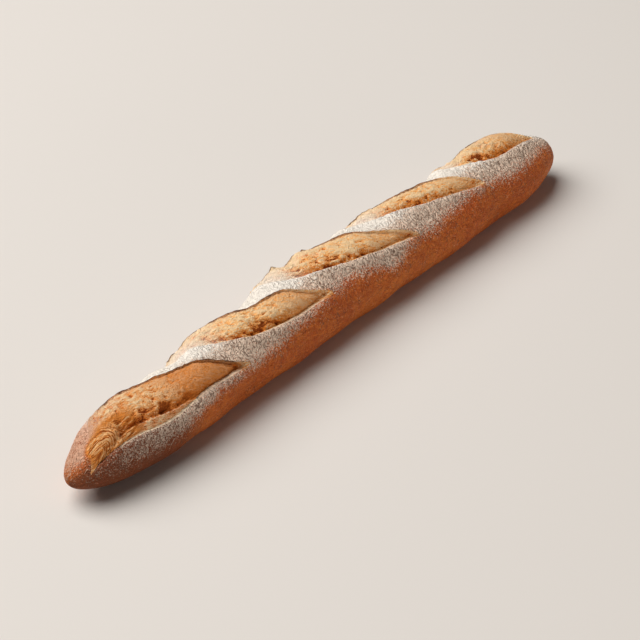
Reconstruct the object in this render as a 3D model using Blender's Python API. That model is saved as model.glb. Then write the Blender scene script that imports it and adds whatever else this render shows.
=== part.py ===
"""A baguette: one loaf with five long slashes that have torn open in the oven.

The loaf lies along X on its flat base, with its pointed end at -X and its round end at +X.
Angles run round the loaf in degrees, from its top line down its near side, which faces -Y.
"""

import math

import bmesh
import bpy
import numpy as np

MM = 0.001

# Driving dimensions of the plain loaf, before its slashes open.
LENGTH = 560 * MM
WIDTH = 62 * MM
AXIS_HEIGHT = 24 * MM
HALF_HEIGHT_UP = 26 * MM
HALF_HEIGHT_DOWN = 30 * MM
AXIS_DROP_AT_TIPS = 3 * MM
BASE_ROUNDING = 3 * MM
BEND = 7 * MM
NEAR_TIP_HOOK = 2.5 * MM

# How blunt each end is: a higher power keeps the full width closer to the tip.
NEAR_END_POWER = 6.5
FAR_END_POWER = 8.0
NEAR_HALF_SLIMMING = 0.12

# The ear: a flap of crust that the swelling crumb lifts and pushes over the slash's far edge.
EAR_LIFT = 1.6 * MM
EAR_SHARE_OF_RISE = 0.5
EAR_REACH = 9 * MM
EAR_OVERHANG = 1 * MM
EAR_STEP = 1.8 * MM
EAR_STEP_REACH = 4 * MM

# The torn crumb: a dome where the slash is wide, and a valley where it narrows to its end.
DOME_SHARE_OF_RISE = 0.6
VALLEY_DEPTH = 3 * MM
NARROW_GAP = 4 * MM
WIDE_GAP = 26 * MM
VALLEY_FROM, VALLEY_FULL = 0.2, 0.7
TIP_FADE = 0.09

# The lip: the slash's near edge, rolled up behind a crease.
CREASE_DEPTH = 2.6 * MM
CREASE_REACH = 4 * MM
CREASE_WALL = 1 * MM
ROLL_LIFT = 2 * MM
ROLL_CENTRE = 4.5 * MM
ROLL_REACH = 5 * MM
ROLL_AT_START = 0.35

# Each slash runs from start to end, as a distance along X from the middle of the loaf and an
# angle round it. Its two edges bow apart by an angle, which is greatest at peak, a fraction of
# the slash's length. The crumb between them swells by rise, and the lip has rolled up fully
# from roll_from of the slash's length on.
SLASHES = (
    {"start": (-270 * MM, 68), "end": (-113 * MM, 57), "ear": (-118, 0.34), "lip": (-26, 0.16),
     "rise": 5.0 * MM, "roll_from": 0.04},
    {"start": (-158 * MM, -66), "end": (-14 * MM, 42), "ear": (-40, 0.46), "lip": (44, 0.40),
     "rise": 4.5 * MM, "roll_from": 0.42},
    {"start": (-50 * MM, -62), "end": (90 * MM, 45), "ear": (-40, 0.60), "lip": (31, 0.30),
     "rise": 5.0 * MM, "roll_from": 0.42},
    {"start": (56 * MM, -60), "end": (176 * MM, 36), "ear": (-36, 0.66), "lip": (24, 0.26),
     "rise": 6.0 * MM, "roll_from": 0.42},
    {"start": (166 * MM, -58), "end": (265 * MM, 8), "ear": (-28, 0.66), "lip": (39, 0.30),
     "rise": 6.5 * MM, "roll_from": 0.30},
)

# Slow swellings of the crust: height, wavelength along X, waves round the loaf, and phase.
SWELLINGS = (
    (0.5 * MM, 83 * MM, 2, 0.4),
    (0.35 * MM, 47 * MM, 3, 2.1),
)

# Fineness of the mesh: rings across the loaf, and columns along it, closer together on top.
RINGS = 124
COLUMNS = 40
TOP_DENSITY = 0.55
OUTLINE_SAMPLES = 4000
SMALLEST_FULLNESS = 0.05
FULL_RELIEF_FROM = 0.5
HAIR = 0.01 * MM

CRUST_COLOUR = (0.46, 0.18, 0.055, 1.0)
CRUST_ROUGHNESS = 0.6


def clear_scene():
    """Remove every object, so that each run starts from nothing."""
    for item in list(bpy.data.objects):
        bpy.data.objects.remove(item, do_unlink=True)


def smooth_step(value, low, high):
    """Rise smoothly from 0 at low to 1 at high."""
    share = np.clip((value - low) / (high - low), 0.0, 1.0)
    return share * share * (3.0 - 2.0 * share)


def fullness(x):
    """Share of the full width and height that the plain loaf has at x."""
    along = np.clip(2.0 * x / LENGTH, -1.0, 1.0)
    power = np.where(along < 0.0, NEAR_END_POWER, FAR_END_POWER)
    slim = 1.0 - NEAR_HALF_SLIMMING * np.clip(-along, 0.0, 1.0) ** 2
    return slim * np.sqrt(1.0 - np.abs(along) ** power)


def ring_stations():
    """Place the rings evenly along the loaf's outline, its round tips included."""
    x = 0.5 * LENGTH * np.sin(np.linspace(-0.5 * math.pi, 0.5 * math.pi, OUTLINE_SAMPLES))
    reach = 0.5 * WIDTH * fullness(x)
    travelled = np.concatenate(([0.0], np.cumsum(np.hypot(np.diff(x), np.diff(reach)))))
    return np.interp(np.linspace(0.0, travelled[-1], RINGS + 1), travelled, x)


def column_angles():
    """Place the columns round the loaf, closer together on top than underneath."""
    turn = np.linspace(-180.0, 180.0, OUTLINE_SAMPLES)
    density = 1.0 + TOP_DENSITY * np.cos(np.radians(turn))
    gathered = np.concatenate(([0.0], np.cumsum(density[1:])))
    return np.interp(np.arange(COLUMNS) / COLUMNS * gathered[-1], gathered, turn)


def slash_edges(slash, x):
    """Give how far along the slash x lies, and the angles of its ear and its lip there."""
    (start_x, start_angle), (end_x, end_angle) = slash["start"], slash["end"]
    along = (x - start_x) / (end_x - start_x)
    inside = np.clip(along, 0.0, 1.0)
    middle = start_angle + (end_angle - start_angle) * inside
    edges = []
    for bow, peak in (slash["ear"], slash["lip"]):
        skew = math.log(0.5) / math.log(peak)
        edges.append(middle + bow * np.sin(math.pi * inside ** skew))
    return along, edges[0], edges[1]


def snap_columns(stations, angles):
    """Move the column nearest to each ear and lip onto it, and its neighbours half as far."""
    for slash in SLASHES:
        along, ear, lip = slash_edges(slash, stations)
        for ring in np.flatnonzero((along > 0.0) & (along < 1.0)):
            for edge in (ear[ring], lip[ring]):
                nearest = int(np.argmin(np.abs(angles[ring] - edge)))
                shift = edge - angles[ring, nearest]
                angles[ring, nearest] = edge
                angles[ring, nearest - 1] += 0.5 * shift
                angles[ring, nearest + 1] += 0.5 * shift


def slash_relief(slash, x, angle):
    """Height of one slash's forms over the plain loaf, and how far its ear leans over."""
    along, ear, lip = slash_edges(slash, x)
    arc = math.radians(1.0) * 0.5 * WIDTH * np.maximum(fullness(x), SMALLEST_FULLNESS)
    from_ear = (angle - ear) * arc
    from_lip = (angle - lip) * arc
    gap = np.maximum((lip - ear) * arc, HAIR)
    across = np.clip(from_ear / gap, 0.0, 1.0)
    wide = smooth_step(gap, NARROW_GAP, WIDE_GAP)
    opened = smooth_step(along, 0.0, TIP_FADE) * smooth_step(1.0 - along, 0.0, TIP_FADE)
    start_roll = smooth_step(along, 0.0, slash["roll_from"])
    rolled = opened * (ROLL_AT_START + (1.0 - ROLL_AT_START) * start_roll)
    narrow_depth = VALLEY_DEPTH * (1.0 - wide)

    push = EAR_SHARE_OF_RISE * slash["rise"] * wide
    flap = opened * np.exp(np.minimum(from_ear, 0.0) / EAR_REACH)

    dome = DOME_SHARE_OF_RISE * slash["rise"] * wide * np.sin(math.pi * across)
    valley = narrow_depth * smooth_step(along, VALLEY_FROM, VALLEY_FULL)
    step = EAR_STEP * np.exp(-from_ear / EAR_STEP_REACH)
    crease = CREASE_DEPTH * rolled * np.exp(-((from_lip / CREASE_REACH) ** 2))
    crumb = opened * (push * (1.0 - across) + dome - valley - step) - crease

    roll = ROLL_LIFT * np.exp(-(((from_lip - ROLL_CENTRE) / ROLL_REACH) ** 2))
    wall = (CREASE_DEPTH + narrow_depth) * np.exp(-((from_lip / CREASE_WALL) ** 2))

    past_ear = from_ear > HAIR
    height = np.where(past_ear, 0.0, (EAR_LIFT + push) * flap)
    height = np.where(past_ear & (from_lip < 0.0), crumb, height)
    height += np.where(from_lip >= 0.0, rolled * (roll - wall), 0.0)
    return height, np.where(past_ear, 0.0, EAR_OVERHANG * flap)


def relief(x, angle):
    """Height of all the forms over the plain loaf, and how far they lean, less at the tips."""
    height = np.zeros_like(x)
    lean = np.zeros_like(x)
    for slash in SLASHES:
        more_height, more_lean = slash_relief(slash, x, angle)
        height += more_height
        lean += more_lean
    for swell, wave, turns, phase in SWELLINGS:
        height += swell * np.sin(2.0 * math.pi * x / wave + turns * np.radians(angle) + phase)
    kept = smooth_step(fullness(x), 0.0, FULL_RELIEF_FROM)
    return height * kept, lean * kept


def rest_flat(z):
    """Flatten the base at z = 0, with a rounded edge round it."""
    eased = (z + BASE_ROUNDING) ** 2 / (4.0 * BASE_ROUNDING)
    return np.where(z > BASE_ROUNDING, z, np.where(z < -BASE_ROUNDING, 0.0, eased))


def loaf_surface(x, angle):
    """Place the points of the loaf that lie at x and at the given angles."""
    size = fullness(x)
    height, lean = relief(x, angle)
    turn = np.radians(angle) + lean / (0.5 * WIDTH * np.maximum(size, SMALLEST_FULLNESS))
    up = np.cos(turn)
    along = 2.0 * x / LENGTH
    y = BEND * (1.0 - along ** 2) + NEAR_TIP_HOOK * np.clip(-along, 0.0, 1.0) ** 6
    y -= (0.5 * WIDTH * size + height) * np.sin(turn)
    half_height = np.where(up > 0.0, HALF_HEIGHT_UP, HALF_HEIGHT_DOWN)
    z = AXIS_HEIGHT - AXIS_DROP_AT_TIPS * (1.0 - size) + (half_height * size + height) * up
    return np.stack([x, y, rest_flat(z)], axis=-1)


def make_loaf_mesh():
    """Shape a ball with one ring for each station and one segment for each column.

    The loaf is set sideways so that the middle of its box is over the origin.
    """
    stations = ring_stations()
    angles = np.tile(column_angles(), (RINGS + 1, 1))
    snap_columns(stations, angles)
    grid = loaf_surface(np.repeat(stations[:, None], COLUMNS, axis=1), angles)
    grid[..., 1] -= 0.5 * (grid[..., 1].min() + grid[..., 1].max())

    ball = bmesh.new()
    bmesh.ops.create_uvsphere(ball, u_segments=COLUMNS, v_segments=RINGS, radius=1.0)
    for vertex in ball.verts:
        ring = round(math.acos(max(-1.0, min(1.0, vertex.co.z))) / math.pi * RINGS)
        column = round(math.atan2(vertex.co.y, vertex.co.x) / (2.0 * math.pi) * COLUMNS) % COLUMNS
        vertex.co = grid[ring, column]
    bmesh.ops.triangulate(ball, faces=ball.faces, quad_method="FIXED")
    bmesh.ops.recalc_face_normals(ball, faces=ball.faces)
    mesh = bpy.data.meshes.new("baguette")
    ball.to_mesh(mesh)
    ball.free()
    mesh.shade_smooth()
    return mesh


def crust_material():
    """Browned crust: warm orange brown and dull."""
    material = bpy.data.materials.new("browned_crust")
    material.use_nodes = True
    shader = material.node_tree.nodes["Principled BSDF"]
    shader.inputs["Base Color"].default_value = CRUST_COLOUR
    shader.inputs["Roughness"].default_value = CRUST_ROUGHNESS
    shader.inputs["Metallic"].default_value = 0.0
    return material


def main():
    """Build the loaf in a collection of its own."""
    clear_scene()
    collection = bpy.data.collections.new("baguette")
    bpy.context.scene.collection.children.link(collection)
    loaf = bpy.data.objects.new("baguette", make_loaf_mesh())
    loaf.data.materials.append(crust_material())
    collection.objects.link(loaf)


main()
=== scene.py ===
# Looks of a baguette with five torn-open slashes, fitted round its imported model.
# Angles run round the loaf in degrees, from its top line down its near side, which faces -Y.

import math

import bpy
import numpy as np
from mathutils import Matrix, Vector, noise


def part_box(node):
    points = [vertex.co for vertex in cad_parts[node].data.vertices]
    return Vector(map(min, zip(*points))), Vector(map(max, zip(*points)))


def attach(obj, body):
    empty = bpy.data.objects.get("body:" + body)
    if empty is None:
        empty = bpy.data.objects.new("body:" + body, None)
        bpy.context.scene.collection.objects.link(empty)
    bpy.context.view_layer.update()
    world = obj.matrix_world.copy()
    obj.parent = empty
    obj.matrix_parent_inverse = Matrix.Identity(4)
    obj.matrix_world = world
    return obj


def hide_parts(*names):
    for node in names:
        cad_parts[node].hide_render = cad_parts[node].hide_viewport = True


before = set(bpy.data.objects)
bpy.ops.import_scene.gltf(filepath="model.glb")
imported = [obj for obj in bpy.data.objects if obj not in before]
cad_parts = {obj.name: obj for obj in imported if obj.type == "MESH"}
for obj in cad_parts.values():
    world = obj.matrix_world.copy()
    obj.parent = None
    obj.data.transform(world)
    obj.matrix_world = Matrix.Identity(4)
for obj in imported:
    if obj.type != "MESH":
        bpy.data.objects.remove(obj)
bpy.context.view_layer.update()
print("frame loaded")

mm = 0.001

# The plain loaf before its slashes open: lengths in metres.
loaf = {
    "length": 560 * mm,
    "width": 62 * mm,
    "axisHeight": 24 * mm,
    "halfHeightUp": 26 * mm,
    "halfHeightDown": 30 * mm,
    "axisDropAtTips": 3 * mm,
    "baseRounding": 3 * mm,
    "bend": 7 * mm,
    "nearTipHook": 2.5 * mm,
    "nearTipHookPower": 6,      # higher keeps the hook closer to the tip
    "nearEndPower": 6.5,        # higher keeps the full width closer to the tip
    "farEndPower": 8.0,
    "nearHalfSlimming": 0.12,
    "swellings": (              # height, wavelength along the loaf, waves round it, phase
        (0.5 * mm, 83 * mm, 2, 0.4),
        (0.35 * mm, 47 * mm, 3, 2.1),
    ),
}

# Swellings and hollows beside the slashes: height, place along the loaf, angle round it, and the
# reach of each both ways.
bulges = (
    (3.5 * mm, -246 * mm, -50, 13 * mm, 30),
    (-2.0 * mm, -188 * mm, -45, 12 * mm, 30),
    (-6.5 * mm, -149 * mm, -50, 13 * mm, 28),
    (-3.5 * mm, -130 * mm, -50, 8 * mm, 26),
    (-6.5 * mm, -75 * mm, -48, 9 * mm, 28),
    (3.5 * mm, -45 * mm, -50, 10 * mm, 26),
    (3.5 * mm, -24 * mm, -50, 10 * mm, 26),
    (4.5 * mm, 2 * mm, -50, 10 * mm, 26),
    (3.5 * mm, 50 * mm, -50, 11 * mm, 26),
    (3.0 * mm, 79 * mm, -50, 12 * mm, 26),
    (-5.5 * mm, 150 * mm, -46, 9 * mm, 26),
    (3.0 * mm, 168 * mm, -48, 7 * mm, 26),
    (-2.0 * mm, 181 * mm, -45, 8 * mm, 26),
    (3.2 * mm, 236 * mm, -45, 26 * mm, 32),
    (-5.0 * mm, -120 * mm, 108, 26 * mm, 26),
    (-1.5 * mm, 10 * mm, 108, 90 * mm, 26),
    (-4.5 * mm, 188 * mm, 108, 19 * mm, 26),
)

# The slashes: each runs from start to end, as a distance along the loaf and an angle round it.
# The ear and the lip bow away from that line by an angle, most at a share of the length, and sags
# let the ear, 0, or the lip, 1, hang lower round one place: angle, place along the loaf, reach.
# Shares of the length say between which the ear rises, earFrom, and sinks away, earTo, from where
# the lip is fully rolled, rollFrom, and has its thin rim, rimFrom, between which the crumb is rough,
# torn, and up to where it is floured, dusted. spiky scales the ear's spikes and caves the hollows
# along the crease. ledge is the width of a second rim inside the lip, where the dough tore twice.
# hole is the place and the share of the depth of a small hole, and toasted how much painted shade from the
# ear darkens the crumb's smooth end.
slashes = (
    {"start": (-272 * mm, 84), "end": (-113 * mm, 57), "rise": 5.0 * mm,
     "ear": (-128, 0.34), "earFrom": (0.14, 0.34), "earTo": (0.91, 1.0), "spiky": 0.3,
     "lip": (-42, 0.20), "rollFrom": 0.22, "rimFrom": 0.22, "ledge": 6.6 * mm,
     "sags": ((1, 15, -200 * mm, 32 * mm), (0, 22, -180 * mm, 27 * mm)),
     "torn": (0.24, 0.62), "caves": 1.0, "hole": (0.93, 1.0), "dusted": 0.01, "smoothEndShade": 1.0,
     "seed": 3.1},
    {"start": (-158 * mm, -66), "end": (-14 * mm, 42), "rise": 4.5 * mm,
     "ear": (-40, 0.46), "earFrom": (0.0, 0.09), "earTo": (0.7, 1.0), "spiky": 0.4,
     "lip": (44, 0.40), "rollFrom": 0.42, "rimFrom": 0.5, "ledge": 0.0,
     "sags": ((0, 28, -80 * mm, 27 * mm),),
     "torn": (0.01, 0.74), "caves": 0.7, "hole": (0.962, 1.0), "dusted": 0.42, "smoothEndShade": 0.5,
     "seed": 17.7},
    {"start": (-50 * mm, -62), "end": (90 * mm, 45), "rise": 5.0 * mm,
     "ear": (-40, 0.60), "earFrom": (0.0, 0.09), "earTo": (0.66, 0.98), "spiky": 1.0,
     "lip": (31, 0.30), "rollFrom": 0.42, "rimFrom": 0.5, "ledge": 0.0,
     "sags": ((0, 14, 52 * mm, 22 * mm),),
     "torn": (0.01, 0.76), "caves": 0.9, "hole": (0.95, 0.4), "dusted": 0.36, "smoothEndShade": 0.4,
     "seed": 29.3},
    {"start": (56 * mm, -60), "end": (176 * mm, 36), "rise": 6.0 * mm,
     "ear": (-36, 0.66), "earFrom": (0.0, 0.09), "earTo": (0.68, 0.97), "spiky": 0.4,
     "lip": (24, 0.26), "rollFrom": 0.42, "rimFrom": 0.45, "ledge": 0.0,
     "sags": ((0, 12, 122 * mm, 25 * mm),),
     "torn": (0.01, 0.78), "caves": 0.3, "hole": (0.95, 0.3), "dusted": 0.36, "smoothEndShade": 0.3,
     "seed": 41.9},
    {"start": (166 * mm, -58), "end": (261 * mm, 3), "rise": 6.5 * mm,
     "ear": (-26, 0.66), "earFrom": (0.0, 0.09), "earTo": (0.5, 0.8), "spiky": 0.3,
     "lip": (41, 0.30), "rollFrom": 0.30, "rimFrom": 0.8, "ledge": 0.0,
     "sags": ((0, 10, 192 * mm, 18 * mm),),
     "torn": (0.01, 0.6), "caves": 1.2, "hole": (0.9, 0.0), "dusted": 0.2, "smoothEndShade": 0.35,
     "seed": 53.3},
)

# The forms along each slash: the lifted ear, the swollen crumb, the ledge and the rolled lip.
slashForm = {
    "earLift": 1.6 * mm,
    "earShareOfRise": 0.5,
    "earReach": 9 * mm,
    "earOverhang": 1 * mm,
    "earStep": 1.3 * mm,
    "earStepReach": 1.6 * mm,
    "domeShareOfRise": 0.6,
    "valleyDepth": 3 * mm,
    "narrowGap": 4 * mm,
    "wideGap": 26 * mm,
    "valleyFrom": 0.2,
    "valleyFull": 0.7,
    "tipFade": 0.09,
    "creaseDepth": 2.6 * mm,
    "creaseReach": 4 * mm,
    "creaseWall": 1 * mm,
    "ledgeBetween": (0.1, 0.3, 0.38, 0.72),     # it widens between the first two shares, then narrows
    "ledgeLeast": 0.5 * mm,                     # a narrower one has no form of its own
    "ledgeCrease": (0.35, 1 * mm),              # share of the crease's depth, reach
    "ledgeRim": (1.3 * mm, 1.3 * mm),           # height, reach
    "ledgeFull": 3 * mm,                        # width at which its rim is whole
    "ledgeTorn": 0.5,                           # share of the tearing that is left on it
    "ledgeWall": (1 * mm, 0.45),                # where it is wider, share of the wall's crease depth
    "rollLift": 2 * mm,
    "rollCentre": 4.5 * mm,
    "rollReach": 5 * mm,
    "rollAtStart": 0.35,
}

# Where a slash's looks show, as distances from its edges and shares of its length.
slashShows = {
    "earEdge": (0.3 * mm, 1.2 * mm),            # fading between
    # Painted shadow on the crumb under the ear's overhang: its place inside the ear and reach, then the
    # shares of the length between which it grows.
    "earShadow": (0.5 * mm, 1 * mm),              # inside the ear, reach
    "earShadowFrom": (0.1, 0.5),
    # The lip's pale rim: flour and pale crumb on its rolled edge, with painted highlight on its steep wall;
    # inside and outside the lip.
    "innerRim": 0.7 * mm,
    "outerRim": (0.6 * mm, 0.3 * mm, 1.3 * mm),     # outside the lip, fading between
    # Where warm painted shade fills the crease inside the lip.
    "crease": (2.5 * mm, 4.5 * mm),             # inside the lip, reach
    "creaseBetween": (0.12, 0.3, 0.6, 0.85),
    # Painted shade in the crumb's hollows, taken from the crease, the torn relief and the hole.
    "hollowShade": (0.4, 5.0),                       # shares of the crease's depth and of the hole
    "smoothFrom": (-0.3, 0.1),                  # from the torn part's end
    "ends": (0.84, 1.0),
    "dustedFrom": 0.2,                          # share of the floured part with all its flour
    "dustedBack": (0.5, 6 * mm),                # share away from the lip, reach of the rest
    "golden": (0.8, 0.98),
    "goldenReach": 3.0 * mm,
}

# What the oven adds: ragged ears, torn crumb, pits, wrinkled crust and blisters.
tearing = {
    "earRagged": ((0.8 * mm, 13 * mm), (0.6 * mm, 5 * mm), (0.5 * mm, 2.4 * mm)),
    "lipWavy": ((0.9 * mm, 21 * mm), (0.45 * mm, 6 * mm), (0.2 * mm, 2.5 * mm)),
    "spikes": ((4.0 * mm, 11 * mm, 0.2), (1.6 * mm, 4.5 * mm, 0.12)),   # height, spacing, least noise
    "spikeFull": 0.7,           # noise at which a spike has its full height
    "spikesTo": (0.45, 0.7),    # shares of a slash's length between which they end
    "spikeReach": 1.1 * mm,
    "fieldWidth": 0.9,          # width of the crumb's noise, as a share of the widest gap
    "lump": (0.7 * mm, 15 * mm, 7 * mm),      # height, length along the slash, width across it
    "strand": (0.9 * mm, 8 * mm, 2.2 * mm),
    "strandCrest": (0.35, 1.6),               # height of a crest, fall to its furrows
    "bend": (2.0, 3.0, 1.2),                  # length and width in strands, how far it turns them
    "shred": (1.0 * mm, 4.2 * mm, 1.4 * mm),
    "bubbles": ((0.4 * mm, 7 * mm, 3.2 * mm), (0.25 * mm, 3.2 * mm, 2.0 * mm)),
    "bubbleBend": 0.8,
    "cellLevel": 0.4,           # distance from a cell's middle that counts as level
    "pits": {"depth": 1.7 * mm, "spacing": 4.6 * mm, "closerAcross": 0.7, "share": 0.35, "radius": 0.42},
    "spotFull": 0.7,            # share of the way in at which a pit or a blister has its full height
    "tornFade": (-0.25, 0.1),   # round the torn part's end, in shares of the length
    "smoothEnd": 0.36,          # share of the tearing that is left at a slash's smooth end
    "edgeFade": 1.2 * mm,
    "caves": {                  # hollows torn along the crease
        "depth": 2.6 * mm, "length": 10 * mm, "width": 3.4 * mm, "noise": (-0.1, 0.4),
        "inset": 4.5 * mm, "reach": 4.0 * mm, "between": (0.1, 0.25, 0.55, 0.72)},
    "hole": (1.7 * mm, 1.5 * mm),             # depth, radius
    "drawn": {                  # strands that turn back on themselves where the first crease starts
        "place": -251 * mm, "angle": 24, "height": 0.9 * mm, "spacing": 1.8 * mm, "length": 9 * mm,
        "turnBack": (-1.5 * mm, 4 * mm), "straighten": (10 * mm, 16 * mm), "slope": 0.55,
        "pit": (1.3 * mm, 3 * mm), "reach": (18 * mm, 34 * mm), "insideLip": (-2.0, 5.0),
        "fadeUp": (-22, 10), "fadeAlong": (-234 * mm, -208 * mm),
        "tipEdge": (-266 * mm, -0.07 * mm, 7 * mm)},    # at the top line, its shift per degree, fade
    "blisters": {"height": 0.4 * mm, "spacing": 13 * mm, "share": 0.35, "radius": 0.16},
    "crustTo": 130.0,           # degrees from the top line with uneven crust
    "crustUneven": (0.35 * mm, 8 * mm),
    "wrinkles": {               # whole from the second amount of flour on, and clear of the slashes
        "depth": 0.5 * mm, "spacing": 2.6 * mm, "length": 9 * mm, "slant": 0.3, "flour": (0.3, 0.8),
        "clear": 2.0 * mm, "furrow": 0.22, "level": 0.7},
}

# Each noise's own place, added to the slash's seed for what lies in a slash.
seeds = {
    "lip": 5.0, "spikes": 11.0, "bend": 9.0, "strand": 2.0, "shred": 4.0, "bubbles": 13.0, "caves": 6.0,
    "drawn": 31.0, "crust": 71.0, "blisters": 83.0, "wrinkles": 97.0, "flourEdge": 4.0, "drift": 8.0,
    "spotScatter": 7.3,
}

meshFineness = {
    "rings": 640,
    "columns": 154,
    "fineTo": 100.0,            # degrees from the top line with narrow columns
    "coarseFrom": 125.0,
    "coarseness": 0.38,
    "snapReach": 2.8,           # degrees that a column may move to keep an edge whole
    "narrowBelow": 5.0,         # degrees between ear and lip that take one column for both
    "outlineSamples": 6000,
    "smallestFullness": 0.05,
    "fullReliefFrom": 0.5,
    "hair": 0.01 * mm,          # the least gap
    "edgeSlack": 0.02 * mm,     # points this close to an edge count as on it
}


def smoothStep(value, low, high):
    share = np.clip((value - low) / (high - low), 0.0, 1.0)
    return share * share * (3.0 - 2.0 * share)


# A share up to the first value, rising to the whole at the last.
def risingFrom(least, value, first, last):
    return least + (1.0 - least) * smoothStep(value, first, last)


# 1 between a rise and a fall, 0 outside them.
def between(value, riseFrom, riseTo, fallFrom, fallTo):
    return smoothStep(value, riseFrom, riseTo) * (1.0 - smoothStep(value, fallFrom, fallTo))


# 1 where the distance is 0, falling off evenly both ways.
def hump(distance, reach):
    return np.exp(-((distance / reach) ** 2))


def fullness(x):
    along = np.clip(2.0 * x / loaf["length"], -1.0, 1.0)
    power = np.where(along < 0.0, loaf["nearEndPower"], loaf["farEndPower"])
    slim = 1.0 - loaf["nearHalfSlimming"] * np.clip(-along, 0.0, 1.0) ** 2
    return slim * np.sqrt(1.0 - np.abs(along) ** power)


def arcPerDegree(x):
    size = np.maximum(fullness(x), meshFineness["smallestFullness"])
    return math.radians(1.0) * 0.5 * loaf["width"] * size


# Rings stand at even steps along the loaf's outline, its round tips included.
def ringStations():
    samples = np.linspace(-0.5 * math.pi, 0.5 * math.pi, meshFineness["outlineSamples"])
    x = 0.5 * loaf["length"] * np.sin(samples)
    reach = 0.5 * loaf["width"] * fullness(x)
    travelled = np.concatenate(([0.0], np.cumsum(np.hypot(np.diff(x), np.diff(reach)))))
    return np.interp(np.linspace(0.0, travelled[-1], meshFineness["rings"] + 1), travelled, x)


def columnAngles():
    turn = np.linspace(-180.0, 180.0, meshFineness["outlineSamples"])
    under = smoothStep(np.abs(turn), meshFineness["fineTo"], meshFineness["coarseFrom"])
    density = 1.0 - (1.0 - meshFineness["coarseness"]) * under
    gathered = np.concatenate(([0.0], np.cumsum(density[1:])))
    columns = meshFineness["columns"]
    return np.interp(np.arange(columns) / columns * gathered[-1], gathered, turn)


# Noise along a line: a sum of waves, each with its height and its wavelength.
def wavyLine(x, waves, seed):
    total = np.zeros_like(x)
    for height, wavelength in waves:
        total += height * np.array([noise.noise((place / wavelength, seed, 0.0)) for place in x])
    return total


# Noise over the surface, only where it is needed.
def surfaceNoise(where, u, v, seed, octaves=1):
    field = np.zeros(where.shape)
    spots = zip(u[where], v[where])
    field[where] = [noise.fractal((p, q, seed), 1.0, 2.0, octaves) for p, q in spots]
    return field


# How far each point is from the middle of its cell, so that the cells' walls stand up as crests.
def cellCrests(where, u, v, seed):
    field = np.zeros(where.shape)
    spots = zip(u[where], v[where])
    field[where] = [noise.voronoi((p, q, seed))[0][0] - tearing["cellLevel"] for p, q in spots]
    return field


# Round spots at uneven places: 1 at the middle of a picked cell, 0 from its rim outwards.
def scatteredSpots(where, u, v, seed, share, radius):
    field = np.zeros(where.shape)
    heights = []
    for p, q in zip(u[where], v[where]):
        distances, centres = noise.voronoi((p, q, seed))
        picked = noise.cell(centres[0] * seeds["spotScatter"]) < share
        heights.append(max(0.0, 1.0 - distances[0] / radius) if picked else 0.0)
    field[where] = heights
    return field


# The slash's line at each ring, and the angles of its ragged ear and its wavy lip.
def slashEdges(slash, x):
    (startX, startAngle), (endX, endAngle) = slash["start"], slash["end"]
    along = (x - startX) / (endX - startX)
    inside = np.clip(along, 0.0, 1.0)
    middle = startAngle + (endAngle - startAngle) * inside
    edges = []
    for bow, peak in (slash["ear"], slash["lip"]):
        skew = math.log(0.5) / math.log(peak)
        edges.append(middle + bow * np.sin(math.pi * inside ** skew))
    gap = (edges[1] - edges[0]) * arcPerDegree(x)
    free = smoothStep(gap, 0.0, slashForm["narrowGap"]) / arcPerDegree(x)
    edges[0] += free * wavyLine(x, tearing["earRagged"], slash["seed"])
    edges[1] += free * wavyLine(x, tearing["lipWavy"], slash["seed"] + seeds["lip"])
    for edge, hang, place, reach in slash["sags"]:
        edges[edge] += hang * hump(x - place, reach)
    return along, edges[0], np.maximum(edges[1], edges[0])


# Moves the column nearest to each ear and lip onto it, and its neighbours half as far. Where it can,
# it goes on from the last ring's column or the one beside that, so that the edge has no gap.
def snapColumns(lines, angles):
    for along, ear, lip in lines:
        last = [0, 0]
        for ring in np.flatnonzero((along > 0.0) & (along < 1.0)):
            row = angles[ring]
            narrow = lip[ring] - ear[ring] < meshFineness["narrowBelow"]
            for side, edge in enumerate((ear[ring],) if narrow else (ear[ring], lip[ring])):
                picked = int(np.argmin(np.abs(row - edge)))
                beside = min(max(picked, last[side] - 1), last[side] + 1)
                if abs(edge - row[beside]) < meshFineness["snapReach"]:
                    picked = beside
                last[side] = picked
                shift = edge - row[picked]
                row[picked] = edge
                row[picked - 1] += 0.5 * shift
                row[picked + 1] += 0.5 * shift


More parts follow.
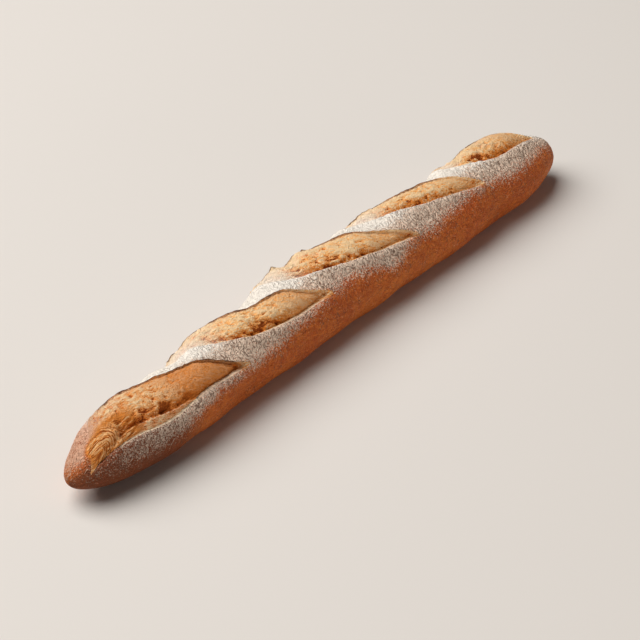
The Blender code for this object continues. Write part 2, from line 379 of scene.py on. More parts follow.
# The torn crumb's own relief, inside one slash.
def tornCrumb(slash, x, along, across, fromEar, fromLip):
    inside = (across > 0.0) & (across < 1.0) & (along > 0.0) & (along < 1.0)
    seed = slash["seed"]
    u = np.broadcast_to(x, across.shape)
    v = across * slashForm["wideGap"] * tearing["fieldWidth"]

    height, length, width = tearing["lump"]
    relief = height * surfaceNoise(inside, u / length, v / width, seed, 2)
    height, length, width = tearing["strand"]
    longer, wider, turning = tearing["bend"]
    crest, fall = tearing["strandCrest"]
    bend = surfaceNoise(inside, u / (longer * length), v / (wider * width), seed + seeds["bend"])
    bent = surfaceNoise(inside, u / length, v / width + turning * bend, seed + seeds["strand"], 2)
    relief += height * (crest - fall * np.abs(bent))
    height, length, width = tearing["shred"]
    relief += height * surfaceNoise(inside, u / length, v / width, seed + seeds["shred"], 3)
    for height, length, width in tearing["bubbles"]:
        bentAlong = u / length + tearing["bubbleBend"] * bend
        relief += height * cellCrests(inside, bentAlong, v / width + bend, seed + seeds["bubbles"])
    pits = tearing["pits"]
    closer = pits["closerAcross"] * pits["spacing"]
    spots = scatteredSpots(inside, u / pits["spacing"], v / closer, seed, pits["share"], pits["radius"])
    relief -= pits["depth"] * smoothStep(spots, 0.0, tearing["spotFull"])

    tornFrom, tornTo = slash["torn"]
    before, after = tearing["tornFade"]
    torn = 1.0 - smoothStep(along, tornTo + before, tornTo + after)
    relief *= tearing["smoothEnd"] + (1.0 - tearing["smoothEnd"]) * torn
    relief *= smoothStep(along, 0.5 * tornFrom, tornFrom)
    relief *= smoothStep(fromEar, 0.0, tearing["edgeFade"]) * smoothStep(-fromLip, 0.0, tearing["edgeFade"])

    caves = tearing["caves"]
    insideLip = fromLip + ledgeAt(slash, along, fromLip)[0]
    nearCrease = slash["caves"] * hump(insideLip + caves["inset"], caves["reach"])
    nearCrease = nearCrease * between(along, *caves["between"])
    cave = surfaceNoise(inside, u / caves["length"], v / caves["width"], seed + seeds["caves"], 2)
    relief -= caves["depth"] * smoothStep(cave, *caves["noise"]) * nearCrease
    return np.where(inside, relief, 0.0)


# How wide the ledge inside the lip is, and which points lie on it.
def ledgeAt(slash, along, fromLip):
    ledge = slash["ledge"] * between(along, *slashForm["ledgeBetween"])
    return ledge, (fromLip > -ledge) & (ledge > slashForm["ledgeLeast"])


# Where the crust beside a slash's end is torn golden.
def tornCrust(along, fromEar, fromLip):
    outside = np.minimum(np.minimum(fromEar, -fromLip), 0.0)
    return smoothStep(along, *slashShows["golden"]) * np.exp(outside / slashShows["goldenReach"])


# Strands drawn out where the first slash's crease starts: they come along the crease, or up from the
# near side, and turn back round one place. Gives where they are, the pit at that place, and each
# point's place across and along them.
def drawnStrands(x, line, angle):
    form = tearing["drawn"]
    lip = line[2][:, None]
    ahead = x - form["place"]
    arc = (angle - form["angle"]) * arcPerDegree(x)
    distance = np.hypot(ahead, arc)
    turned = form["length"] * np.arctan2(arc, np.maximum(ahead, 0.0))
    behind = smoothStep(-ahead, *form["turnBack"])
    onward = (1.0 - behind) * smoothStep(distance, *form["straighten"])
    fromArms = np.maximum(arc + form["slope"] * ahead, -arc)
    across = distance + behind * (fromArms - distance) + onward * (arc - distance)
    along = turned + (behind + onward) * (ahead - turned)
    where = 1.0 - smoothStep(distance - np.maximum(ahead, 0.0), *form["reach"])
    where = where * smoothStep(lip - angle, *form["insideLip"]) * smoothStep(angle, *form["fadeUp"])
    where = where * (1.0 - smoothStep(x, *form["fadeAlong"]))
    tipEdge, shift, fade = form["tipEdge"]
    where = where * smoothStep(x - tipEdge - shift * angle, 0.0, fade)
    depth, radius = form["pit"]
    return where, depth * hump(distance, radius), np.stack([across, along, np.zeros(across.shape)], axis=-1)


# Spikes along the ear's edge, where it stands up.
def earSpikes(slash, x, along, fromEar, earUp):
    spikes = np.zeros_like(x)
    for height, spacing, least in tearing["spikes"]:
        seed = slash["seed"] + seeds["spikes"] + height / mm
        spiky = wavyLine(x[:, 0], ((1.0, spacing),), seed)[:, None]
        spikes = spikes + height * np.clip((spiky - least) / (tearing["spikeFull"] - least), 0.0, 1.0)
    spikes = spikes * slash["spiky"] * earUp * (1.0 - smoothStep(along, *tearing["spikesTo"]))
    return spikes * np.exp(-np.abs(fromEar) / tearing["spikeReach"])


# The small hole where the crumb ends: 1 at its middle in the slash that has it whole.
def smallHole(slash, along, across, gap):
    place, share = slash["hole"]
    length = slash["end"][0] - slash["start"][0]
    fromHole = np.hypot((along - place) * length, (across - 0.5) * gap)
    return share * hump(fromHole, tearing["hole"][1])


# Where each of one slash's looks shows: its edges with the ear's painted shadow, the pale rim with its
# painted highlight, the crease's painted shade, the ledge, the painted shade on its smooth end, flour and
# torn crust.
def slashShades(slash, along, fromEar, fromLip, opened, earUp):
    shows = slashShows
    ledge, onLedge = ledgeAt(slash, along, fromLip)
    insideLip = fromLip + ledge
    isOpen = (along > 0.0) & (along < 1.0)
    inset = np.where(isOpen, np.minimum(fromEar, -fromLip), -1.0)
    inside = np.where(inset > 0.0, opened, 0.0)
    # The painted shadow under the ear, strongest just inside its edge.
    place, reach = shows["earShadow"]
    earShadow = smoothStep(along, *shows["earShadowFrom"]) * np.exp(-np.abs(fromEar - place) / reach)
    rimmed = opened * smoothStep(along, 0.5 * slash["rimFrom"], slash["rimFrom"])
    innerRim = np.exp(-np.abs(insideLip) / shows["innerRim"])
    innerRim = innerRim * smoothStep(ledge, 0.0, slashForm["ledgeFull"])
    place, fadeFrom, fadeTo = shows["outerRim"]
    outerRim = 1.0 - smoothStep(np.abs(fromLip - place), fadeFrom, fadeTo)
    place, reach = shows["crease"]
    inCrease = hump(insideLip + place, reach) * between(along, *shows["creaseBetween"])
    before, after = shows["smoothFrom"]
    smoothed = smoothStep(along, slash["torn"][1] + before, slash["torn"][1] + after)
    least, reach = shows["dustedBack"]
    floured = 1.0 - smoothStep(along, shows["dustedFrom"] * slash["dusted"], slash["dusted"])
    floured = floured * (least + (1.0 - least) * np.exp(np.minimum(fromLip, 0.0) / reach))
    return {
        "inset": inset,
        # The ear's dark edge: burnt crust, with a painted shadow line under its overhang.
        "earEdge": earUp * (1.0 - smoothStep(np.abs(fromEar), *shows["earEdge"])),
        "earShadow": earUp * isOpen * earShadow,
        # Pale rim along the lip, partly painted highlight on its wall.
        "rim": rimmed * np.maximum(outerRim, innerRim),
        # Warm painted shade in the crease inside the lip.
        "crease": inside * np.where(onLedge, 0.0, inCrease),
        "ledge": inside * onLedge,
        # Painted shade from the ear over the crumb's smooth end.
        "smooth": inside * slash["smoothEndShade"] * smoothed,
        "ends": smoothStep(along, *shows["ends"]),
        "dusted": inside * floured,
        "golden": isOpen * tornCrust(along, fromEar, fromLip),
    }


# One slash's forms: how far they lift the surface, how far the ear leans, and what shows there.
def slashRelief(slash, x, line, angle):
    form = slashForm
    along, ear, lip = (values[:, None] for values in line)
    arc = arcPerDegree(x)
    fromEar = (angle - ear) * arc
    fromLip = (angle - lip) * arc
    gap = np.maximum((lip - ear) * arc, meshFineness["hair"])
    across = np.clip(fromEar / gap, 0.0, 1.0)
    wide = smoothStep(gap, form["narrowGap"], form["wideGap"])
    opened = smoothStep(along, 0.0, form["tipFade"]) * smoothStep(1.0 - along, 0.0, form["tipFade"])
    rolled = opened * risingFrom(form["rollAtStart"], along, 0.0, slash["rollFrom"])
    narrowDepth = form["valleyDepth"] * (1.0 - wide)

    # The ear's flap, with spikes along its edge.
    push = form["earShareOfRise"] * slash["rise"] * wide
    standing = smoothStep(along, *slash["earFrom"])
    earUp = standing * (1.0 - smoothStep(along, *slash["earTo"]))
    flap = opened * np.exp(np.minimum(fromEar, 0.0) / form["earReach"])
    flapHeight = (form["earLift"] + push) * flap
    spikes = earSpikes(slash, x, along, fromEar, earUp)

    # The crumb between ear and lip: a dome, a valley towards its end, and a crease at the lip.
    ledge, onLedge = ledgeAt(slash, along, fromLip)
    insideLip = fromLip + ledge
    dome = form["domeShareOfRise"] * slash["rise"] * wide * np.sin(math.pi * across)
    valley = narrowDepth * smoothStep(along, form["valleyFrom"], form["valleyFull"])
    step = form["earStep"] * earUp - form["earLift"] * (1.0 - earUp)
    step = step * np.exp(-fromEar / form["earStepReach"])
    share, reach = form["ledgeCrease"]
    creaseShape = np.where(onLedge, share * hump(insideLip, reach), hump(insideLip, form["creaseReach"]))
    crease = form["creaseDepth"] * rolled * creaseShape
    torn = tornCrumb(slash, x, along, across, fromEar, fromLip)
    hole = smallHole(slash, along, across, gap)
    rimHeight, rimReach = form["ledgeRim"]
    ledgeRim = rimHeight * hump(insideLip, rimReach) * smoothStep(ledge, 0.0, form["ledgeFull"])
    crumb = opened * (push * (1.0 - across) + dome - valley - step) - crease
    crumb = crumb + np.where(onLedge, form["ledgeTorn"], 1.0) * torn + ledgeRim - tearing["hole"][0] * hole

    # The rolled lip, with a wall down to the crease.
    roll = form["rollLift"] * hump(fromLip - form["rollCentre"], form["rollReach"])
    width, share = form["ledgeWall"]
    wall = form["creaseDepth"] * np.where(ledge > width, share, 1.0) + narrowDepth
    wall = wall * hump(fromLip, form["creaseWall"])

    inCrumb = fromEar > meshFineness["hair"]
    height = np.where(inCrumb, 0.0, flapHeight)
    height = np.where(inCrumb & (fromLip < 0.0), crumb, height)
    height = height + np.where(fromLip >= 0.0, rolled * (roll - wall), 0.0) + spikes

    shades = slashShades(slash, along, fromEar, fromLip, opened, earUp)
    inside = np.where(shades["inset"] > 0.0, opened, 0.0)
    # Painted shade, darker where the crease and the torn crumb sink and in the hole.
    ofCrease, ofHole = slashShows["hollowShade"]
    return shades | {
        "height": height,
        "lean": np.where(inCrumb, 0.0, form["earOverhang"] * standing * flap),
        "hollowShade": inside * ((ofCrease * crease - torn) / mm + ofHole * hole),
    }


# What the slashes give at each point: sums, the highest of the five, and what the materials read.
summedChannels = ("height", "lean", "hollowShade")
highestChannels = ("inset", "earEdge", "earShadow", "rim", "crease", "ledge", "smooth", "ends", "dusted",
                   "golden")
shownChannels = ("hollowShade",) + highestChannels[1:] + ("drawn", "flour", "thick", "baked", "nearTip",
                                                     "nearEnd", "turnRound")


# Everything that stands up from the plain loaf, and what shows at each point.
def surfaceForms(x, lines, angle):
    shape = angle.shape
    forms = {channel: np.zeros(shape) for channel in summedChannels + highestChannels}
    forms["inset"] -= 1.0       # outside every slash
    for slash, line in zip(slashes, lines):
        one = slashRelief(slash, x, line, angle)
        one["ends"] = np.where(one["inset"] > 0.0, one["ends"], 0.0)
        for channel in summedChannels:
            forms[channel] += one[channel]
        for channel in highestChannels:
            forms[channel] = np.maximum(forms[channel], one[channel])
    form = tearing["drawn"]
    forms["drawn"], pit, places = drawnStrands(x, lines[0], angle)
    forms["strandPlace"] = places
    across, along = places[..., 0] / form["spacing"], places[..., 1] / form["length"]
    strands = surfaceNoise(forms["drawn"] > 0.0, across, along, seeds["drawn"], 2)
    forms["height"] += form["height"] * forms["drawn"] * strands - pit
    # The pit where the strands turn back darkens the painted shade too.
    forms["hollowShade"] += pit / mm
    for height, place, middle, reach, width in bulges:
        away = ((x - place) / reach) ** 2 + ((angle - middle) / width) ** 2
        forms["height"] += height * np.exp(-away)
    for swell, wave, turns, phase in loaf["swellings"]:
        forms["height"] += swell * np.sin(2.0 * math.pi * x / wave + turns * np.radians(angle) + phase)

    onCrust = (forms["inset"] <= 0.0) & (np.abs(angle) < tearing["crustTo"])
    arc = np.radians(angle) * 0.5 * loaf["width"]
    u = np.broadcast_to(x, shape)
    height, wavelength = tearing["crustUneven"]
    uneven = height * surfaceNoise(onCrust, u / wavelength, arc / wavelength, seeds["crust"], 3)
    form = tearing["blisters"]
    blisters = scatteredSpots(onCrust, u / form["spacing"], arc / form["spacing"], seeds["blisters"],
                              form["share"], form["radius"])
    forms["height"] += uneven + form["height"] * smoothStep(blisters, 0.0, tearing["spotFull"])
    form = tearing["wrinkles"]
    forms["flour"], forms["thick"] = flourAmounts(x, angle)
    slanted = (u + form["slant"] * arc) / form["spacing"]
    wrinkles = surfaceNoise(onCrust, slanted, arc / form["length"], seeds["wrinkles"], 2)
    wrinkled = smoothStep(forms["flour"], *form["flour"]) * smoothStep(-forms["inset"], 0.0, form["clear"])
    furrows = smoothStep(np.abs(wrinkles), 0.0, form["furrow"]) - form["level"]
    forms["height"] += form["depth"] * wrinkled * furrows
    kept = smoothStep(fullness(x), 0.0, meshFineness["fullReliefFrom"])
    forms["height"] *= kept
    forms["lean"] *= kept
    return forms


# The base is pressed flat, with its edge rounded.
def restFlat(z):
    rounding = loaf["baseRounding"]
    eased = (z + rounding) ** 2 / (4.0 * rounding)
    return np.where(z > rounding, z, np.where(z < -rounding, 0.0, eased))


def loafPoints(x, angle, forms):
    size = fullness(x)
    reach = 0.5 * loaf["width"] * np.maximum(size, meshFineness["smallestFullness"])
    turn = np.radians(angle) + forms["lean"] / reach
    up = np.cos(turn)
    along = 2.0 * x / loaf["length"]
    hook = loaf["nearTipHook"] * np.clip(-along, 0.0, 1.0) ** loaf["nearTipHookPower"]
    y = loaf["bend"] * (1.0 - along ** 2) + hook
    y = y - (0.5 * loaf["width"] * size + forms["height"]) * np.sin(turn)
    halfHeight = np.where(up > 0.0, loaf["halfHeightUp"], loaf["halfHeightDown"])
    z = loaf["axisHeight"] - loaf["axisDropAtTips"] * (1.0 - size)
    z = z + (halfHeight * size + forms["height"]) * up
    return np.stack([np.broadcast_to(x, y.shape), y, restFlat(z)], axis=-1)


# Flour dusted from above: a grey film that reaches down the near side to a wavering edge, and white
# where it lies thick, on the top and the far shoulder. Angles in degrees, places along the loaf.
flour = {
    "edge": 42,
    "lowerBefore": ((24, -125 * mm, 15 * mm), (28, -215 * mm, -140 * mm)),   # by an angle, fading between
    "drips": ((24, 52 * mm, 24 * mm), (12, 105 * mm, 18 * mm), (9, 214 * mm, 24 * mm)),  # by, at, reach
    "wavers": ((5.0, 24 * mm), (4.0, 9 * mm)),      # angle, wavelength
    "fade": (-26, 22),          # round the film's edge
    "nearTip": (0.25, -272 * mm, -226 * mm),        # its share at the tip, fading between
    "farTip": (0.6, 281 * mm, 262 * mm),
    "nearSide": (0.55, -232 * mm, -158 * mm, 5, 30),    # share before, fading between, by angles
    "thick": (-18, 32),         # thick up to the first, none past the second
    "farEdge": (70, 112),       # the same on the far side, for all flour
    "drift": ((1.0, 38 * mm), (0.6, 14 * mm)),      # share, wavelength
    "driftFar": 14.0,           # degrees that a drift moves the far edge
    "driftThick": 8.0,          # and the thick flour's
}


def flourAmounts(x, angle):
    edge = flour["edge"] + wavyLine(x[:, 0], flour["wavers"], seeds["flourEdge"])[:, None]
    for lower, first, last in flour["lowerBefore"]:
        edge = edge + lower * (1.0 - smoothStep(x, first, last))
    for lower, place, reach in flour["drips"]:
        edge = edge + lower * hump(x - place, reach)
    drift = wavyLine(x[:, 0], flour["drift"], seeds["drift"])[:, None]
    far = 1.0 - smoothStep(-angle + flour["driftFar"] * drift, *flour["farEdge"])
    spread = 1.0
    for least, first, last in (flour["nearTip"], flour["farTip"]):
        spread = spread * risingFrom(least, x, first, last)
    least, first, last, above, below = flour["nearSide"]
    nearSide = (1.0 - smoothStep(x, first, last)) * smoothStep(angle, above, below)
    spread = spread * (1.0 - (1.0 - least) * nearSide)
    film = spread * far * (1.0 - smoothStep(angle - edge, *flour["fade"]))
    thick = spread * far * (1.0 - smoothStep(angle + flour["driftThick"] * drift, *flour["thick"]))
    return film, thick


# The near end: baked darker on its near side, with paler skin on the tip's top and far side, and
# browner crumb. Places along the loaf and angles between which each fades.
nearEndLook = {
    "bakedTip": (0.5, -280 * mm, -262 * mm),        # share at the very tip, rising between
    "bakedTo": (-232 * mm, -150 * mm),
    "bakedAngles": (0.0, 60.0),
    "skinTip": (0.4, -280 * mm, -268 * mm),
    "skinTo": (-256 * mm, -218 * mm),
    "skinAngles": (-115.0, -60.0, -15.0, 45.0),
    "crumbTo": (-240 * mm, -110 * mm),
}


def nearEndAmounts(x, angle):
    end = nearEndLook
    baked = risingFrom(end["bakedTip"][0], x, *end["bakedTip"][1:])
    baked = baked * (1.0 - smoothStep(x, *end["bakedTo"])) * smoothStep(angle, *end["bakedAngles"])
    skin = risingFrom(end["skinTip"][0], x, *end["skinTip"][1:])
    skin = skin * (1.0 - smoothStep(x, *end["skinTo"])) * between(angle, *end["skinAngles"])
    crumb = 1.0 - smoothStep(np.broadcast_to(x, angle.shape), *end["crumbTo"])
    return {"baked": baked, "nearTip": skin, "nearEnd": crumb}


# Each face with four corners is split so that its diagonal follows an ear or a lip that crosses it.
def loafFaces(angles, lines):
    rings, columns = meshFineness["rings"], meshFineness["columns"]
    ring = np.arange(1, rings - 1)[:, None]
    column = np.arange(columns)
    after = (column + 1) % columns
    corner = 1 + (ring - 1) * columns + column
    cornerAfter = 1 + (ring - 1) * columns + after
    above, aboveAfter = corner + columns, cornerAfter + columns
    onEdge = np.zeros(angles.shape, dtype=bool)
    for along, ear, lip in lines:
        isOpen = ((along > 0.0) & (along < 1.0))[:, None]
        onEdge |= isOpen & ((angles == ear[:, None]) | (angles == lip[:, None]))
    lower, upper = onEdge[1:rings - 1], onEdge[2:rings]
    falling = (lower[:, after] & upper & ~(lower & upper[:, after]))[..., None]
    first = np.stack([corner, cornerAfter, aboveAfter], axis=-1)
    first = np.where(falling, np.stack([corner, cornerAfter, above], axis=-1), first)
    second = np.stack([corner, aboveAfter, above], axis=-1)
    second = np.where(falling, np.stack([cornerAfter, aboveAfter, above], axis=-1), second)
    start = np.stack([np.zeros(columns, int), after + 1, column + 1], axis=-1)
    lastRing = 1 + (rings - 2) * columns
    tip = np.full(columns, lastRing + columns)
    end = np.stack([tip, lastRing + column, lastRing + after], axis=-1)
    return np.concatenate([start, first.reshape(-1, 3), second.reshape(-1, 3), end])


# One point for each tip, and the whole rings between them.
def flatten(grid):
    return np.concatenate([grid[:1, 0], grid[1:-1].reshape((-1,) + grid.shape[2:]), grid[-1:, 0]])


def addChannel(mesh, name, values):
    attribute = mesh.attributes.new(name, "FLOAT", "POINT")
    attribute.data.foreach_set("value", np.ascontiguousarray(flatten(values), dtype=np.float32))


def addPlaces(mesh, name, places):
    attribute = mesh.attributes.new(name, "FLOAT_VECTOR", "POINT")
    attribute.data.foreach_set("vector", np.ascontiguousarray(flatten(places), dtype=np.float32).ravel())


def makeLoaf():
    x = ringStations()[:, None]
    lines = [slashEdges(slash, x[:, 0]) for slash in slashes]
    angles = np.tile(columnAngles(), (meshFineness["rings"] + 1, 1))
    snapColumns(lines, angles)
    forms = surfaceForms(x, lines, angles)
    forms.update(nearEndAmounts(x, angles))
    forms["turnRound"] = angles / 90.0      # in quarter turns
    points = loafPoints(x, angles, forms)
    lowest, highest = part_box("baguette")
    middle = 0.5 * (lowest[1] + highest[1])
    points[..., 1] += middle - 0.5 * (points[..., 1].min() + points[..., 1].max())

    faces = loafFaces(angles, lines)
    mesh = bpy.data.meshes.new("loaf")
    mesh.from_pydata(flatten(points).tolist(), [], faces.tolist())
    mesh.update()
    for channel in shownChannels:
        addChannel(mesh, channel, forms[channel])
    arc = np.radians(angles) * 0.5 * loaf["width"]
    unrolled = np.stack([np.broadcast_to(x, arc.shape), arc, np.zeros(arc.shape)], axis=-1)
    addPlaces(mesh, "unrolled", unrolled)
    addPlaces(mesh, "strandPlace", forms["strandPlace"])

    inset = flatten(np.where(np.abs(forms["inset"]) < meshFineness["edgeSlack"], 0.0, forms["inset"]))
    isCrumb = inset[faces].sum(axis=1) > 0.0
    piece = bpy.data.objects.new("loaf", mesh)
    bpy.context.scene.collection.objects.link(piece)
    mesh.materials.append(flouredCrust())
    mesh.materials.append(ovenTornCrumb())
    mesh.polygons.foreach_set("material_index", isCrumb.astype(np.int32))
    mesh.shade_smooth()
    print("loaf made:", len(faces), "triangles")
    return piece


# Colours are written as sRGB hex and used as linear light.
def linear(hexColour):
    channels = [int(hexColour[place:place + 2], 16) / 255.0 for place in (1, 3, 5)]
    return [c / 12.92 if c <= 0.04045 else ((c + 0.055) / 1.055) ** 2.4 for c in channels] + [1.0]


# Adds a node with its input values, links from other nodes' outputs and settings.
def addNode(tree, kind, inputs=None, settings=None, output=0):
    node = tree.nodes.new(kind)
    for name, value in (settings or {}).items():
        setattr(node, name, value)
    for name, value in (inputs or {}).items():
        if isinstance(value, bpy.types.NodeSocket):
            tree.links.new(value, node.inputs[name])
        else:
            node.inputs[name].default_value = value
    return node.outputs[output]


filmLevels = (1.4, 2.1)         # of the flour's film: none of it shows, all of it shows

# Patterns: the noise, where it is read, its size in three directions, its turn in degrees, detail,
# roughness and distortion. Sums: a value made of others by their shares. Layers: a colour laid on
# where a value runs from its first to its second level, and how much of it there is at the most.
# Those for the drawn strands and the near tip's skin are shared by both looks.
drawnPatterns = {
    "strandLines": ("FBM", "strandPlace", (1.2 * mm, 8 * mm, 1.0), 0, 1.0, 0.6, 0.5),
    "spots": ("FBM", "Object", (3.2 * mm, 3.2 * mm, 3.2 * mm), 0, 2.0, 0.7, 0.0),
}
drawnSums = {
    "drawnGold": {"drawn": 1.0, "grain": 0.8, "strandLines": 0.4},
    "lightStrand": {"strandLines": 3.0, "drawn": 1.0},
    "darkStrand": {"strandLines": -3.0, "drawn": 1.0},
    "tipSkin": {"nearTip": 1.0, "drawn": -0.6, "grain": 1.2, "spots": 1.2},
    "tipPores": {"nearTip": 1.0, "drawn": -0.6, "grain": -1.2, "spots": -1.2},
}
drawnLayers = (
    ("tipSkin", 1.45, 2.2, 0.95, "#e0b094"),
    ("tipPores", -0.3, 0.15, 0.8, "#9c5634"),
    ("drawnGold", 0.8, 1.3, 0.95, "#de8633"),
    ("lightStrand", 2.45, 2.8, 0.75, "#ffd096"),
    ("darkStrand", -0.5, -0.15, 0.85, "#9a4408"),
)

crustLook = {
    "base": "#b9551b",
    "patterns": {
        "mottle": ("FBM", "unrolled", (6 * mm, 3.2 * mm, 1.0), 14, 4.0, 0.65, 0.6),
        "patches": ("FBM", "Object", (38 * mm, 38 * mm, 38 * mm), 0, 2.0, 0.5, 0.0),
        "drifts": ("FBM", "Object", (9 * mm, 9 * mm, 9 * mm), 0, 2.0, 0.6, 0.0),
        "grain": ("FBM", "Object", (1.1 * mm, 1.1 * mm, 1.1 * mm), 0, 1.0, 0.6, 0.0),
        "creases": ("RIDGED_MULTIFRACTAL", "unrolled", (2.3 * mm, 4.5 * mm, 1.0), 18, 1.5, 0.6, 0.8),
    } | drawnPatterns,
    "sums": {
        "dark": {"baked": 0.9, "patches": 0.8, "mottle": 0.5},
        "bright": {"mottle": 0.8, "patches": 0.5, "grain": 0.4},
        "film": {"flour": 1.0, "drifts": 0.5, "grain": 1.9, "golden": -0.4},
        "dust": {"thick": 0.8, "flour": 0.35, "drifts": 0.6, "grain": 1.1},
        "wrinkle": {"creases": 1.0, "flour": 0.3, "thick": -0.4, "drifts": 0.9},
        "tornGold": {"golden": 1.0, "mottle": 1.0},
        # Pale rim on the lip, partly flour on its rolled edge, partly painted highlight on its wall.
        "paleRimAndHighlight": {"rim": 1.0, "drifts": 0.7, "grain": 0.5},
        # Dark line along the ear: its burnt edge, with a painted shadow line under its overhang.
        "burntEdgeAndShadowLine": {"earEdge": 1.0, "drifts": 0.8},
        "relief": {"creases": -0.5, "grain": 0.9, "mottle": 0.5},
    } | drawnSums,
    "layers": (
        ("bright", 0.68, 1.12, 1.0, "#e07e30"),
        ("dark", 0.7, 1.4, 0.85, "#773a1a"),
        ("tornGold", 0.75, 1.35, 1.0, "#e0934a"),
        ("film", *filmLevels, 0.92, "#e9d6c3"),
        ("dust", 1.35, 1.85, 1.0, "#fdf6ec"),
        ("wrinkle", 1.62, 2.1, 0.8, "#6b4832"),
        ("baked", 0.0, 1.0, 0.22, "#5e3420"),
        # Pale rim with painted highlight on the lip's wall.
        ("paleRimAndHighlight", 1.1, 1.5, 0.85, "#f9e4c6"),
    ) + drawnLayers + (
        # Burnt ear edge and painted shadow line.
        ("burntEdgeAndShadowLine", 1.15, 1.4, 0.9, "#5e3216"),
    ),
    "relief": 1.6 * mm,
    "roughness": 0.62,
    "flourRoughness": 0.92,
    "specular": 0.3,
    "refraction": 1.45,
}

crumbLook = {
    "base": "#ffbd74",
    "patterns": {
        "strands": ("FBM", "unrolled", (4.5 * mm, 1.1 * mm, 1.0), 22, 3.0, 0.65, 0.9),
        "grain": ("FBM", "Object", (1.1 * mm, 1.1 * mm, 1.1 * mm), 0, 1.0, 0.7, 0.0),   # for its pores
        "patches": ("FBM", "unrolled", (13 * mm, 5 * mm, 1.0), 22, 2.0, 0.6, 0.5),
    } | drawnPatterns,
    "sums": {
        # Lighter where the strands and grain stand up, darker in the hollows and the crease: painted
        # highlight and painted shade over the crumb's uneven tone, browner towards the near end.
        "tone": {"strands": 2.0, "grain": 1.3, "patches": 0.7, "hollowShade": -0.36, "crease": -0.1,
                 "nearEnd": -0.24},
        "farSide": {"turnRound": -0.6, "patches": 0.8},
        # Orange patches at random, with warm painted shade in the crease along the lip.
        "warmPatchesAndCreaseShade": {"crease": 0.7, "patches": 0.9, "strands": 0.5},
        # Pale rim on the lip, partly pale crumb, partly painted highlight.
        "paleRimAndHighlight": {"rim": 1.0, "patches": 0.7, "grain": 0.5},
        # Dark line along the ear: burnt edge and painted shadow line under its overhang.
        "burntEdgeAndShadowLine": {"earEdge": 1.0, "patches": 0.8},
        "relief": {"strands": 0.8, "grain": 0.7},
    } | drawnSums,
    "layers": (
        ("farSide", 0.4, 0.8, 0.8, "#fbe4cc"),
        # Orange patches, and warm painted shade in the crease.
        ("warmPatchesAndCreaseShade", 0.85, 1.45, 0.95, "#e58d38"),
        ("nearEnd", 0.0, 1.0, 0.4, "#cc8355"),
        ("ends", 0.0, 1.0, 0.7, "#cf7d34"),
        ("ledge", 0.0, 1.0, 0.7, "#f0ae80"),
        # Painted highlight on the crumb's crests, then painted shade lower down.
        ("tone", 1.72, 2.08, 0.9, "#ffdfb0"),
        ("tone", 1.60, 1.42, 0.8, "#e57f28"),
        ("tone", 1.38, 1.16, 0.95, "#8f3f08"),
        # Darker amber: painted shade from the ear over the smooth end.
        ("smooth", 0.0, 1.0, 0.7, "#dc7b28"),
        ("dusted", 0.0, 1.0, 0.9, "#fbf0e4"),
        # Painted shadow on the crumb under the ear's overhang.
        ("earShadow", 0.1, 0.8, 0.8, "#96501c"),
        # Pale rim with painted highlight on the lip's wall.
        ("paleRimAndHighlight", 1.1, 1.5, 0.8, "#f9e4c6"),
    ) + drawnLayers + (
        # Burnt ear edge and painted shadow line.
        ("burntEdgeAndShadowLine", 1.15, 1.4, 0.9, "#5e3216"),
    ),
    "relief": 2.2 * mm,
    "roughness": 0.75,
    "specular": 0.25,
    "refraction": 1.45,
}


def newMaterial(name):
    material = bpy.data.materials.new(name)
    material.use_nodes = True
    tree = material.node_tree
    return material, tree, tree.nodes["Principled BSDF"]


# Works out a look's patterns and sums, lays its colours over each other and gives it its relief.
def paintLook(tree, shader, look):
    sources = {"Object": addNode(tree, "ShaderNodeTexCoord", output="Object")}
    for name in ("unrolled", "strandPlace"):
        sources[name] = addNode(tree, "ShaderNodeAttribute", None, {"attribute_name": name}, "Vector")
    values = {}
    for name in shownChannels:
        values[name] = addNode(tree, "ShaderNodeAttribute", None, {"attribute_name": name}, "Fac")
    for name, (kind, source, size, turn, detail, roughness, distortion) in look["patterns"].items():
        mapping = {"Vector": sources[source], "Rotation": (0.0, 0.0, math.radians(turn)), "Scale": size}
        place = addNode(tree, "ShaderNodeMapping", mapping, {"vector_type": "TEXTURE"})
        inputs = {"Vector": place, "Scale": 1.0, "Detail": detail, "Roughness": roughness,
                  "Distortion": distortion}
        if kind == "RIDGED_MULTIFRACTAL":
            inputs["Offset"] = 1.0
        values[name] = addNode(tree, "ShaderNodeTexNoise", inputs, {"noise_type": kind})
    for name, shares in look["sums"].items():
        total = 0.0
        for source, share in shares.items():
            total = addNode(tree, "ShaderNodeMath", {0: values[source], 1: share, 2: total},
                            {"operation": "MULTIPLY_ADD"})
        values[name] = total
    colour = linear(look["base"])
    for name, low, high, most, tone in look["layers"]:
        share = addNode(tree, "ShaderNodeMapRange",
                        {"Value": values[name], "From Min": low, "From Max": high, "To Max": most},
                        {"interpolation_type": "SMOOTHSTEP"})
        colour = addNode(tree, "ShaderNodeMix", {0: share, 6: colour, 7: linear(tone)},
                         {"data_type": "RGBA"}, 2)
    tree.links.new(colour, shader.inputs["Base Color"])
    bump = addNode(tree, "ShaderNodeBump", {"Height": values["relief"], "Distance": look["relief"]})
    tree.links.new(bump, shader.inputs["Normal"])
    shader.inputs["Roughness"].default_value = look["roughness"]
    shader.inputs["Specular IOR Level"].default_value = look["specular"]
    shader.inputs["IOR"].default_value = look["refraction"]
    return values


# Browned wheat crust: thin, hard and dull with a faint shine, mottled orange brown, dusted with flour.
def flouredCrust():
    material, tree, shader = newMaterial("flouredCrust")
    values = paintLook(tree, shader, crustLook)
    dull = addNode(tree, "ShaderNodeMapRange", {
        "Value": values["film"], "From Min": filmLevels[0], "From Max": filmLevels[1],
        "To Min": crustLook["roughness"], "To Max": crustLook["flourRoughness"]})
    tree.links.new(dull, shader.inputs["Roughness"])
    return material


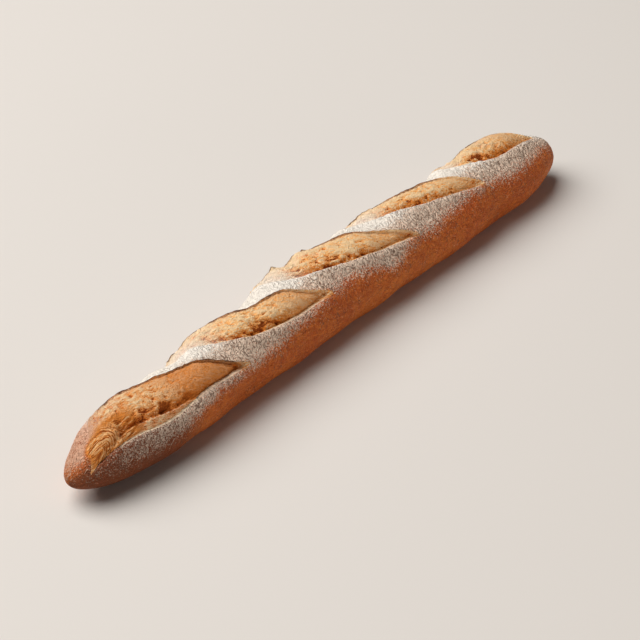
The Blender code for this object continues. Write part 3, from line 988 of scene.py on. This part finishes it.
# Crumb torn open in the oven: rough golden-brown strands, with painted highlights on their tops and painted
# shade where it is deep.
def ovenTornCrumb():
    material, tree, shader = newMaterial("ovenTornCrumb")
    paintLook(tree, shader, crumbLook)
    return material


studio = {
    "floorColour": "#dbd8d5",
    "floorSize": 8.0,
    "floorRoughness": 0.95,
    "floorSpecular": 0.1,
    "ambientColour": "#fffaf5",
    "ambientStrength": 0.04,
    "lamps": (               # name, direction, distance, width, height, power, colour
        ("window", (-0.28, 0.48, 0.90), 4.0, 4.2, 4.2, 255.0, "#fffaf4"),
        ("reflector", (0.05, -0.98, 0.10), 2.0, 2.2, 0.4, 12.0, "#fff4ea"),
    ),
}

view = {
    "aimAt": (0.5 * mm, 2.5 * mm, 0.0),
    "distance": 2.047,
    "heading": 39.01,
    "elevation": 35.2,
    "lens": 153.06,
    "sensorWidth": 36.0,
}


def makeFloor(height):
    half = 0.5 * studio["floorSize"]
    corners = [(-half, -half, height), (half, -half, height), (half, half, height), (-half, half, height)]
    mesh = bpy.data.meshes.new("floor")
    mesh.from_pydata(corners, [], [(0, 1, 2, 3)])
    material, _, shader = newMaterial("matteBackdropPaper")
    shader.inputs["Base Color"].default_value = linear(studio["floorColour"])
    shader.inputs["Roughness"].default_value = studio["floorRoughness"]
    shader.inputs["Specular IOR Level"].default_value = studio["floorSpecular"]
    mesh.materials.append(material)
    floor = bpy.data.objects.new("floor", mesh)
    bpy.context.scene.collection.objects.link(floor)


def makeLights():
    for name, towards, distance, width, height, power, colour in studio["lamps"]:
        direction = Vector(towards).normalized()
        light = bpy.data.lights.new(name, "AREA")
        light.shape = "RECTANGLE"
        light.size, light.size_y = width, height
        light.energy = power
        light.color = linear(colour)[:3]
        lamp = bpy.data.objects.new(name, light)
        lamp.location = direction * distance
        lamp.rotation_euler = direction.to_track_quat("Z", "Y").to_euler()
        bpy.context.scene.collection.objects.link(lamp)
    world = bpy.data.worlds.new("room")
    world.use_nodes = True
    background = world.node_tree.nodes["Background"]
    background.inputs["Color"].default_value = linear(studio["ambientColour"])
    background.inputs["Strength"].default_value = studio["ambientStrength"]
    bpy.context.scene.world = world
    bpy.context.scene.view_settings.view_transform = "Standard"


def makeCamera():
    heading, elevation = math.radians(view["heading"]), math.radians(view["elevation"])
    forward = Vector((math.cos(elevation) * math.cos(heading),
                      math.cos(elevation) * math.sin(heading), -math.sin(elevation)))
    camera = bpy.data.objects.new("camera", bpy.data.cameras.new("camera"))
    camera.data.lens = view["lens"]
    camera.data.sensor_width = view["sensorWidth"]
    camera.location = Vector(view["aimAt"]) - forward * view["distance"]
    camera.rotation_euler = forward.to_track_quat("-Z", "Y").to_euler()
    bpy.context.scene.collection.objects.link(camera)
    bpy.context.scene.camera = camera


loafPiece = makeLoaf()
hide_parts("baguette")
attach(loafPiece, "root")

makeFloor(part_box("baguette")[0][2])
makeLights()
makeCamera()
print("studio made")
